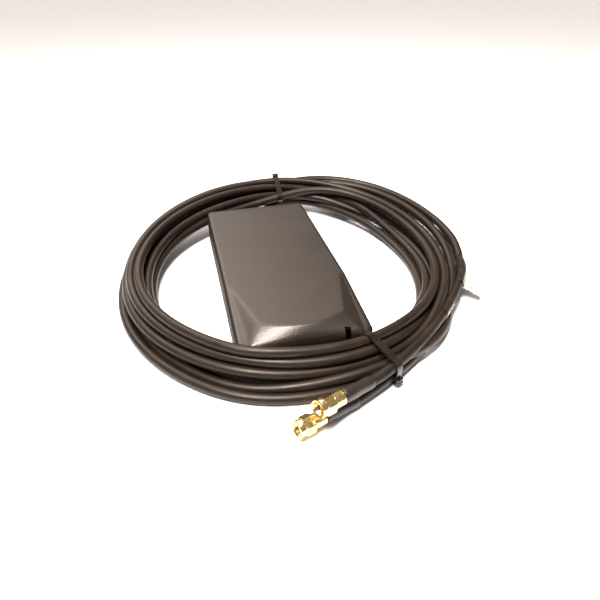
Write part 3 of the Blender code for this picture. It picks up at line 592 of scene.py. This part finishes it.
def makeCover():
    c = cover
    halfWide, halfLong = housing["wide"] / 2, housing["long"] / 2
    rows = alongLines()
    columns = len(acrossLines(0.0))
    nothingSelected()
    bpy.ops.mesh.primitive_grid_add(x_subdivisions=columns - 1, y_subdivisions=len(rows) - 1, size=2.0,
                                    location=(0, 0, 0))
    obj = bpy.context.object
    places = np.zeros(len(obj.data.vertices) * 3)
    obj.data.vertices.foreach_get("co", places)
    places = places.reshape(-1, 3)
    column = np.round((places[:, 0] + 1) / 2 * (columns - 1)).astype(int)
    row = np.round((places[:, 1] + 1) / 2 * (len(rows) - 1)).astype(int)
    lines = np.array([acrossLines(y) for y in rows])
    x, y = lines[row, column], rows[row]
    # the square corners of the grid drawn in to the rounded ones
    inX, inY = np.abs(x) - (halfWide - c["corner"]), np.abs(y) - (halfLong - c["corner"])
    corner = (inX > 0) & (inY > 0)
    reach = np.maximum(inX, inY) / np.maximum(np.hypot(inX, inY), 1e-9)
    x = np.where(corner, np.sign(x) * (halfWide - c["corner"] + inX * reach), x)
    y = np.where(corner, np.sign(y) * (halfLong - c["corner"] + inY * reach), y)
    inX, inY = np.abs(x) - (halfWide - c["corner"]), np.abs(y) - (halfLong - c["corner"])
    depth = c["corner"] - np.where((inX > 0) & (inY > 0), np.hypot(inX, inY), np.maximum(inX, inY))
    short = np.clip(1 - depth / c["edge"], 0, 1)
    z = topHeight(x, y) - c["edge"] * (1 - np.sqrt(np.clip(1 - short ** 2, 0, 1)))
    obj.data.vertices.foreach_set("co", (np.stack([x, y, z], 1) * mm).ravel())
    obj.data.update()
    # the skirt, drawn straight down from the rim
    madeActive(obj)
    bpy.ops.object.mode_set(mode="EDIT")
    bpy.ops.mesh.select_all(action="SELECT")
    bpy.ops.mesh.region_to_loop()
    bpy.ops.mesh.extrude_region_move(TRANSFORM_OT_translate={"value": (0, 0, -1 * mm)})
    bpy.ops.object.mode_set(mode="OBJECT")
    for level in (c["waist"], c["bottom"]):
        lowest = [v for v in obj.data.vertices if v.select]
        for v in lowest:
            v.co.z = level * mm
        if level > c["bottom"]:
            bpy.ops.object.mode_set(mode="EDIT")
            bpy.ops.mesh.extrude_region_move(TRANSFORM_OT_translate={"value": (0, 0, -1 * mm)})
            bpy.ops.object.mode_set(mode="OBJECT")
    bpy.ops.object.mode_set(mode="EDIT")
    bpy.ops.mesh.select_all(action="SELECT")
    bpy.ops.mesh.remove_doubles(threshold=0.000005)
    bpy.ops.mesh.select_all(action="SELECT")
    bpy.ops.mesh.normals_make_consistent(inside=False)
    bpy.ops.object.mode_set(mode="OBJECT")
    applyModifier(obj, "SOLIDIFY", thickness=c["wall"] * mm, offset=-1.0, use_even_offset=False)
    notch = c["notch"]
    cutWith(obj, block(((notch["left"] + notch["right"]) / 2, -halfLong - 1 + notch["deep"] / 2,
                        (notch["top"] + notch["sill"]) / 2),
                       (notch["right"] - notch["left"], notch["deep"] + 2, notch["top"] - notch["sill"])))
    # the side-wall faces below wallTop take the painted-shade copy of the cover's finish
    walls = [face.index for face in obj.data.polygons
             if abs(face.normal.z) < 0.5 and face.center.z < c["wallTop"] * mm]
    return finished(obj, "coverShell", "root", "cover_abs", "top_cover", 40, coverWallsPaintedShade, walls)


coverShell = makeCover()
print("cover moulded")


# Plugs: coupling nut, body and heat-shrink sleeve on each lead

nut = {
    "flange": (4.3, 0.0, 0.6),                 # radius, from, to
    "collar": (3.95, 0.6, 3.0),
    "hex": (8.0, 3.0, 8.0),                    # across flats, from, to
    "chamfer": 0.45,
    "bore": 3.2,
    "thread": 0.22,                            # depth of the thread's grooves
    "pitch": 0.7,
    "mouth": 0.35,                             # how much wider the bore starts
    "threadStart": 0.6,
    "boreEnd": 6.2,
    "lip": 2.6,
    "sides": 40,
    "outerSides": 48,
}


def threadedBore():
    # The space inside the nut: mouth, thread grooves, then the lip that runs on the retaining ring.
    bore, crest, end = nut["bore"], nut["bore"] - nut["thread"], nut["boreEnd"]
    rings = [(bore + nut["mouth"], -1.0), (bore + nut["mouth"], 0.15), (crest, nut["threadStart"])]
    along = nut["threadStart"]
    while along + nut["pitch"] < end - 0.8:
        rings += [(bore, along + nut["pitch"] / 2), (crest, along + nut["pitch"])]
        along += nut["pitch"]
    rings += [(bore, end - 0.6), (bore, end), (nut["lip"], end), (nut["lip"], nut["hex"][2] + 1.0)]
    return capped(turned(rings, nut["sides"]))


def capped(obj):
    # The open rings at both ends filled.
    madeActive(obj)
    bpy.ops.object.mode_set(mode="EDIT")
    bpy.ops.mesh.select_all(action="DESELECT")
    bpy.ops.mesh.select_non_manifold(extend=False)
    bpy.ops.mesh.edge_face_add()
    bpy.ops.mesh.select_all(action="SELECT")
    bpy.ops.mesh.normals_make_consistent(inside=False)
    bpy.ops.object.mode_set(mode="OBJECT")
    return obj


def makeNut(tag):
    flats, hexStart, hexEnd = nut["hex"]
    corner = flats / 2 / math.cos(math.pi / 6)
    nothingSelected()
    bpy.ops.mesh.primitive_cylinder_add(vertices=6, radius=corner * mm, depth=(hexEnd - hexStart) * mm,
                                        location=(0, 0, (hexStart + hexEnd) / 2 * mm))
    obj = bpy.context.object
    bpy.ops.object.transform_apply(location=True, rotation=True, scale=True)
    low, high = flats / 2 - 0.05, corner + 0.02      # the barrel that chamfers the hexagon's corners
    barrel = capped(turned([(low, hexStart - 0.01), (high, hexStart + nut["chamfer"]),
                            (high, hexEnd - nut["chamfer"]), (low, hexEnd + 0.01)], nut["outerSides"]))
    cutWith(obj, barrel, "INTERSECT")
    flangeRadius, flangeStart, flangeEnd = nut["flange"]
    collarRadius, collarStart, collarEnd = nut["collar"]
    collar = capped(turned([(flangeRadius - 0.25, flangeStart), (flangeRadius, flangeStart + 0.2),
                            (flangeRadius, flangeEnd), (collarRadius - 0.15, flangeEnd + 0.15),
                            (collarRadius, collarStart + 0.5), (collarRadius, collarEnd + 0.4)],
                           nut["outerSides"]))
    cutWith(obj, collar, "UNION")
    cutWith(obj, threadedBore())
    onAxis(obj, plugs[tag]["face"], plugs[tag]["way"])
    return finished(obj, "couplingNut_" + tag, "nut_" + tag, "gold_plate", "coupling_nut_" + tag, 28)


# Profiles as (radius, along): the body's front barrel with its ring groove, round body and crimp stem,
# and the sleeve, shrunk tight over the ferrule's end, its mouth rolled a little.
plugBody = {
    "profile": ((1.55, 6.6), (1.85, 2.4), (2.25, 2.4), (2.3, 2.55), (2.3, 5.1), (1.9, 5.1), (1.9, 5.9),
                (2.3, 5.9), (2.3, 8.3), (3.3, 8.3), (3.5, 8.55), (3.5, 9.1), (3.3, 9.3), (3.3, 9.6),
                (3.5, 9.8), (3.5, 13.95), (3.25, 14.3), (2.0, 14.3), (2.0, 21.3), (1.1, 21.3),
                (1.1, 13.6), (1.55, 13.2), (1.55, 6.6)),
    "sides": 40,
    "flats": {"out": 4.15, "along": 11.9, "size": (8, 2, 3.4)},     # the two cuts for a spanner
}
sleeve = {
    "profile": ((2.9, 0), (3.35, 0), (3.5, 0.25), (3.48, 2), (3.5, 4.5), (3.46, 7.2), (3.3, 8.6),
                (3.2, 9.8), (3.22, 13), (3.18, 17.2), (3.12, 17.85), (2.98, 18), (2.76, 17.95),
                (2.76, 8.4), (2.9, 7.8), (2.9, 0)),
    "sides": 32,
}


def makePlugBody(tag):
    obj = turned(plugBody["profile"], plugBody["sides"])
    flats = plugBody["flats"]
    for side in (-1, 1):
        cutWith(obj, block((0, side * flats["out"], flats["along"]), flats["size"]))
    onAxis(obj, plugs[tag]["face"], plugs[tag]["way"])
    return finished(obj, "plugBody_" + tag, "root", "gold_plate", "plug_body_" + tag, 28)


def makeSleeve(tag):
    obj = turned([(radius, plug["sleeveStart"] + along) for radius, along in sleeve["profile"]],
                 sleeve["sides"])
    onAxis(obj, plugs[tag]["face"], plugs[tag]["way"])
    return finished(obj, "shrinkSleeve_" + tag, "root", "heatshrink", "heatshrink_sleeve_" + tag, 50)


plugPieces = {tag: [makeNut(tag), makePlugBody(tag), makeSleeve(tag)] for tag in ("a", "b")}
print("plugs turned")


# Strain reliefs: a flange on the rear wall and a ribbed boot that tapers along the lead

boot = {
    "exit": 11.0,
    "height": 9.3,
    "length": 17.0,
    "ribs": 5,
    "start": 5.1,
    "end": 3.5,
    "groove": 0.55,
    "flange": ((3.0, -4.6), (4.7, -4.6), (4.7, -3.7), (3.8, -3.7), (3.8, 0.3), (5.7, 0.3), (6.0, 0.6),
               (6.0, 1.9), (5.7, 2.2)),        # radius and place, from inside the wall outwards
}


def makeBoot(tag, side):
    rings = [*boot["flange"], (boot["start"], 2.5)]
    pitch = (boot["length"] - 4.5) / boot["ribs"]
    for rib in range(boot["ribs"]):
        along = 3.0 + rib * pitch
        wide = boot["start"] + (boot["end"] - boot["start"]) * rib / boot["ribs"]
        thin = wide - boot["groove"]
        rings += [(wide, along), (wide - 0.1, along + pitch * 0.55), (thin - 0.1, along + pitch * 0.62),
                  (thin - 0.15, along + pitch * 0.92)]
    rings += [(boot["end"], boot["length"] - 1.2), (boot["end"] - 0.2, boot["length"]), (3.0, boot["length"]),
              (3.0, -4.6)]
    obj = turned(rings, 32)
    onAxis(obj, (side * boot["exit"], housing["long"] / 2, boot["height"]), (0, 1, 0))
    return finished(obj, "strainRelief_" + tag, "root", "rubber", "lead_grommet_" + tag, 30)


for tag, side in (("a", 1), ("b", -1)):
    makeBoot(tag, side)
print("strain reliefs made")


# Ties: a railed strap drawn tight round the strands that pass through it, and its locking head

ties = {                              # head: which way from the bundle it sits, out: which way it stands out
    "front": {"node": "tie_front", "middle": (33.0, -88.0), "across": (0.456, -0.890), "above": -1.0,
              "head": (1.0, -0.55), "out": (1, 0)},
    "back": {"node": "tie_back", "middle": (23.0, 109.0), "across": (0.0, 1.0), "above": 12.5,
             "head": (0.30, 1.0), "out": (0, 1)},
}
strap = {
    "wide": 3.8,
    "thick": 1.0,
    "rail": 0.3,                      # height and width of the rails at its edges, and their slope
    "railWide": 0.7,
    "railSlope": 0.25,
    "gap": 0.15,                      # between the strap and the leads
    "reach": 20,                      # how far from its middle a tie takes in strands
    "head": (2.5, 3.8, 4.4),          # out from the strap, along it, across it
    "headRound": 0.55,
    "sunk": 0.1,                      # how far the head sits into the strap
    "cutEnd": {"thick": 1.1, "wide": 3.4, "out": 0.35, "aside": 0.4, "round": 0.15},
}


def strandsThrough(tie):
    # Where the leads pass through the tie's plane: distance across it, and height.
    middle, across = np.array(tie["middle"]), np.array(tie["across"])
    way = np.array((-across[1], across[0]))
    found = []
    for route in routes.values():
        beyond = (route[:, :2] - middle) @ way
        for k in np.where(beyond[:-1] * beyond[1:] < 0)[0]:
            share = beyond[k] / (beyond[k] - beyond[k + 1])
            spot = route[k] + (route[k + 1] - route[k]) * share
            if abs((spot[:2] - middle) @ across) < strap["reach"] and spot[2] > tie["above"]:
                found.append(((spot[:2] - middle) @ across, spot[2]))
    return found


def hullOf(points):
    points = sorted(map(tuple, points))
    sides = []
    for run in (points, points[::-1]):
        edge = []
        for p in run:
            while len(edge) > 1 and ((edge[-1][0] - edge[-2][0]) * (p[1] - edge[-2][1])
                                     - (edge[-1][1] - edge[-2][1]) * (p[0] - edge[-2][0])) <= 0:
                edge.pop()
            edge.append(p)
        sides += edge[:-1]
    return np.array(sides)


def strapLine(tie):
    reach = lead["diameter"] / 2 + strap["gap"] + strap["thick"] / 2
    turn = np.radians(np.arange(0, 360, 10))
    around = np.stack([np.cos(turn), np.sin(turn)], 1) * reach
    spots = np.vstack([np.array(s) + around for s in strandsThrough(tie)])
    spots[:, 1] = np.maximum(spots[:, 1], strap["thick"] / 2 + strap["rail"] + 0.1)
    hull = hullOf(spots)
    loop = evenly(np.column_stack([np.vstack([hull, hull[:1]]), np.zeros(len(hull) + 1)]), 0.8)[:-1, :2]
    for _ in range(6):
        loop = loop + 0.3 * ((np.roll(loop, 1, 0) + np.roll(loop, -1, 0)) / 2 - loop)
    return loop


def flatCurve(name, points):
    curve = bpy.data.curves.new(name, "CURVE")
    curve.dimensions = "2D"
    line = curve.splines.new("POLY")
    line.points.add(len(points) - 1)
    for point, (x, y) in zip(line.points, points):
        point.co = (x * mm, y * mm, 0.0, 1.0)
    line.use_cyclic_u = True
    obj = bpy.data.objects.new(name, curve)
    scene.collection.objects.link(obj)
    return obj


def makeTie(which):
    tie = ties[which]
    half, thick, rail = strap["wide"] / 2, strap["thick"] / 2, strap["rail"]
    railEnd = half - strap["railWide"]
    flat = railEnd - strap["railSlope"]
    section = flatCurve("strapSection", [(-thick, -half), (thick + rail, -half), (thick + rail, -railEnd),
                                         (thick, -flat), (thick, flat), (thick + rail, railEnd),
                                         (thick + rail, half), (-thick, half)])
    line = strapLine(tie)
    loop = flatCurve("strapLoop", line)
    loop.data.bevel_mode = "OBJECT"
    loop.data.bevel_object = section
    madeActive(loop)
    bpy.ops.object.convert(target="MESH")
    band = bpy.context.object
    bpy.data.objects.remove(section)
    bpy.ops.object.mode_set(mode="EDIT")
    bpy.ops.mesh.select_all(action="SELECT")
    bpy.ops.mesh.remove_doubles(threshold=0.000002)
    bpy.ops.mesh.select_all(action="SELECT")
    bpy.ops.mesh.normals_make_consistent(inside=False)
    bpy.ops.object.mode_set(mode="OBJECT")
    # the head: a rounded block with the strap's slot through it and the cut end standing out
    deep, tall, wide = strap["head"]
    outX, outZ = tie["out"]
    u, z = line[np.argmax((line - line.mean(0)) @ np.array(tie["head"]))]
    u, z = u + outX * (deep / 2 - strap["sunk"]), z + outZ * (deep / 2 - strap["sunk"])
    head = block((u, z, 0), (deep if outX else tall, tall if outX else deep, wide), strap["headRound"], 3)
    thin, broad = strap["cutEnd"]["thick"], strap["cutEnd"]["wide"]
    through = deep + 2 * strap["cutEnd"]["out"]
    tail = block((u - outZ * strap["cutEnd"]["aside"], z - outX * strap["cutEnd"]["aside"], 0),
                 (thin if outZ else through, through if outZ else thin, broad), strap["cutEnd"]["round"])
    cutWith(head, tail, "UNION")
    cutWith(band, head, "UNION")
    across = Vector((*tie["across"], 0.0)).normalized()
    upright = Vector((0, 0, 1))
    axes = Matrix((across, upright, across.cross(upright))).transposed().to_4x4()
    band.data.transform(Matrix.Translation((tie["middle"][0] * mm, tie["middle"][1] * mm, 0)) @ axes)
    band.data.update()
    return finished(band, "strapTie_" + which, "root", "nylon", tie["node"], 30)


for which in ties:
    makeTie(which)
print("ties drawn tight")


# Labels: a film wrap round each lead, and a folded paper flag on the upper one

label = {
    "long": 13.0,
    "film": 0.18,
    "slack": 0.12,                    # between the film and the jacket
    "printed": (-110, 8),             # degrees round the lead that are white paper, below and outwards
    "wraps": {"a": (84.5, -58, 9.7), "b": (63.5, -76.7, 3.4)},
    "flag": {"at": (107.5, -32, 9.6), "long": 16.0, "out": 14.5, "slope": -28.0, "curl": 1.2, "slack": 0.15,
             "round": 150, "cells": (48, 10)},
}


def alongRoute(route, spot):
    # The place on a lead nearest a given point, with local Z along the lead and local X level, outwards.
    k = int(np.argmin(np.linalg.norm(route - np.array(spot), axis=1)))
    way = Vector(route[k + 1] - route[k - 1]).normalized()
    if way.y > 0:
        way = -way
    out = Vector((-way.y, way.x, 0.0)).normalized()
    axes = Matrix((out, way.cross(out), way)).transposed().to_4x4()
    return Matrix.Translation(Vector(route[k]) * mm) @ axes


def makeWrap(tag, spot):
    half, inner = label["long"] / 2, lead["diameter"] / 2 + label["slack"]
    outer = inner + label["film"]
    obj = turned([(inner, -half), (outer, -half), (outer + 0.02, -half * 0.3), (outer, half * 0.4),
                  (outer, half), (inner, half), (inner, -half)], 48)
    low, high = label["printed"]
    clear = [face.index for face in obj.data.polygons
             if not low < math.degrees(math.atan2(face.center.y, face.center.x)) < high]
    obj.data.transform(alongRoute(routes[tag], spot))
    obj.data.update()
    return finished(obj, "filmWrap_" + tag, "root", "label_film", "wrap_label_" + tag, 50, clearFilm, clear)


def makeFlag():
    # One strip of paper goes round the lead and its two ends are stuck together as a flag.
    flag, film = label["flag"], label["film"]
    half, inner = flag["long"] / 2, lead["diameter"] / 2 + flag["slack"]
    nothingSelected()
    across, down = flag["cells"]
    bpy.ops.mesh.primitive_grid_add(x_subdivisions=across, y_subdivisions=down, size=2.0)
    obj = bpy.context.object
    wrapped = math.radians(flag["round"])
    start = Vector((math.cos(math.pi - wrapped), math.sin(math.pi - wrapped))) * inner
    flagRun = flag["out"] - inner
    total = 2 * flagRun + 2 * wrapped * inner
    for v in obj.data.vertices:
        walked, along = (v.co.x + 1) / 2 * total, v.co.y * half
        fromMiddle = abs(walked - total / 2)
        side = 1 if walked > total / 2 else -1
        if fromMiddle <= wrapped * inner:
            angle = math.pi - side * fromMiddle / inner
            x, y = inner * math.cos(angle), inner * math.sin(angle)
        else:
            out = (fromMiddle - wrapped * inner) / flagRun
            closing = 1 - min(1.0, out * 5)               # the two halves meet a fifth of the way out
            x = start.x + (flag["out"] - start.x) * out
            y = side * (start.y * closing ** 2 + film * 0.6)
            y += flag["curl"] * out ** 2 * math.sin(along / half * 1.1 + 0.4)
        v.co = (x * mm, y * mm, along * mm)
    obj.data.update()
    applyModifier(obj, "SOLIDIFY", thickness=film * 0.5 * mm, offset=0.0)
    clear = [face.index for face in obj.data.polygons if face.center.xy.length < (inner + 0.5) * mm]
    slope = Matrix.Rotation(math.radians(flag["slope"]), 4, "Z")
    obj.data.transform(alongRoute(routes["a"], flag["at"]) @ slope)
    obj.data.update()
    return finished(obj, "paperFlag", "root", "label_film", "flag_label", 40, clearFilm, clear)


for tag, spot in label["wraps"].items():
    makeWrap(tag, spot)
makeFlag()
print("labels folded")

# Floor, light and air

studio = {
    "floor": 14.0,
    "paper": {"Base Color": linear("#eff4fd"), "Roughness": 0.9, "Specular IOR Level": 0.0},
    "skyWay": (-0.20, 0.62, 0.75),              # the brightest part of the sky, behind and above
    "skyWidth": 0.82,                          # cosine of the angle at which it has faded out
    "skyLow": 0.30,
    "skyHigh": 5.5,
    "key": {"place": (-0.17, -0.22, 0.80), "aim": (0.0, -0.1, 0.0), "size": 0.20, "long": 0.50,
            "power": 22.0},
    "warmth": "#fff0e2",
}


def makeStudio():
    nothingSelected()
    bpy.ops.mesh.primitive_plane_add(size=studio["floor"], location=(0, 0, 0))
    floor = bpy.context.object
    floor.name = "floor"
    paper = bpy.data.materials.new("whitePaperSweep")
    paper.use_nodes = True
    for socket, value in studio["paper"].items():
        paper.node_tree.nodes["Principled BSDF"].inputs[socket].default_value = value
    floor.data.materials.append(paper)
    world = bpy.data.worlds.new("studio")
    scene.world = world
    world.use_nodes = True
    tree = world.node_tree
    way = addNode(tree, "ShaderNodeTexCoord").outputs["Generated"]
    facing = addNode(tree, "ShaderNodeVectorMath", {0: way}, operation="DOT_PRODUCT")
    facing.inputs[1].default_value = Vector(studio["skyWay"]).normalized()
    bright = addNode(tree, "ShaderNodeMapRange", {"Value": facing.outputs["Value"]}, **{
        "From Min": studio["skyWidth"], "From Max": 1.0, "To Min": studio["skyLow"],
        "To Max": studio["skyHigh"]}, interpolation_type="SMOOTHSTEP")
    sky = tree.nodes["Background"]
    sky.inputs["Color"].default_value = linear(studio["warmth"])
    tree.links.new(bright.outputs["Result"], sky.inputs["Strength"])
    key = studio["key"]
    data = bpy.data.lights.new("keyLight", "AREA")
    data.shape, data.size, data.size_y, data.energy = "RECTANGLE", key["size"], key["long"], key["power"]
    data.color = linear(studio["warmth"])[:3]
    light = bpy.data.objects.new("keyLight", data)
    scene.collection.objects.link(light)
    light.location = key["place"]
    light.rotation_mode = "QUATERNION"
    light.rotation_quaternion = (Vector(key["aim"]) - Vector(key["place"])).to_track_quat("-Z", "Y")
    scene.view_settings.view_transform = "Standard"


makeStudio()
print("studio lit")
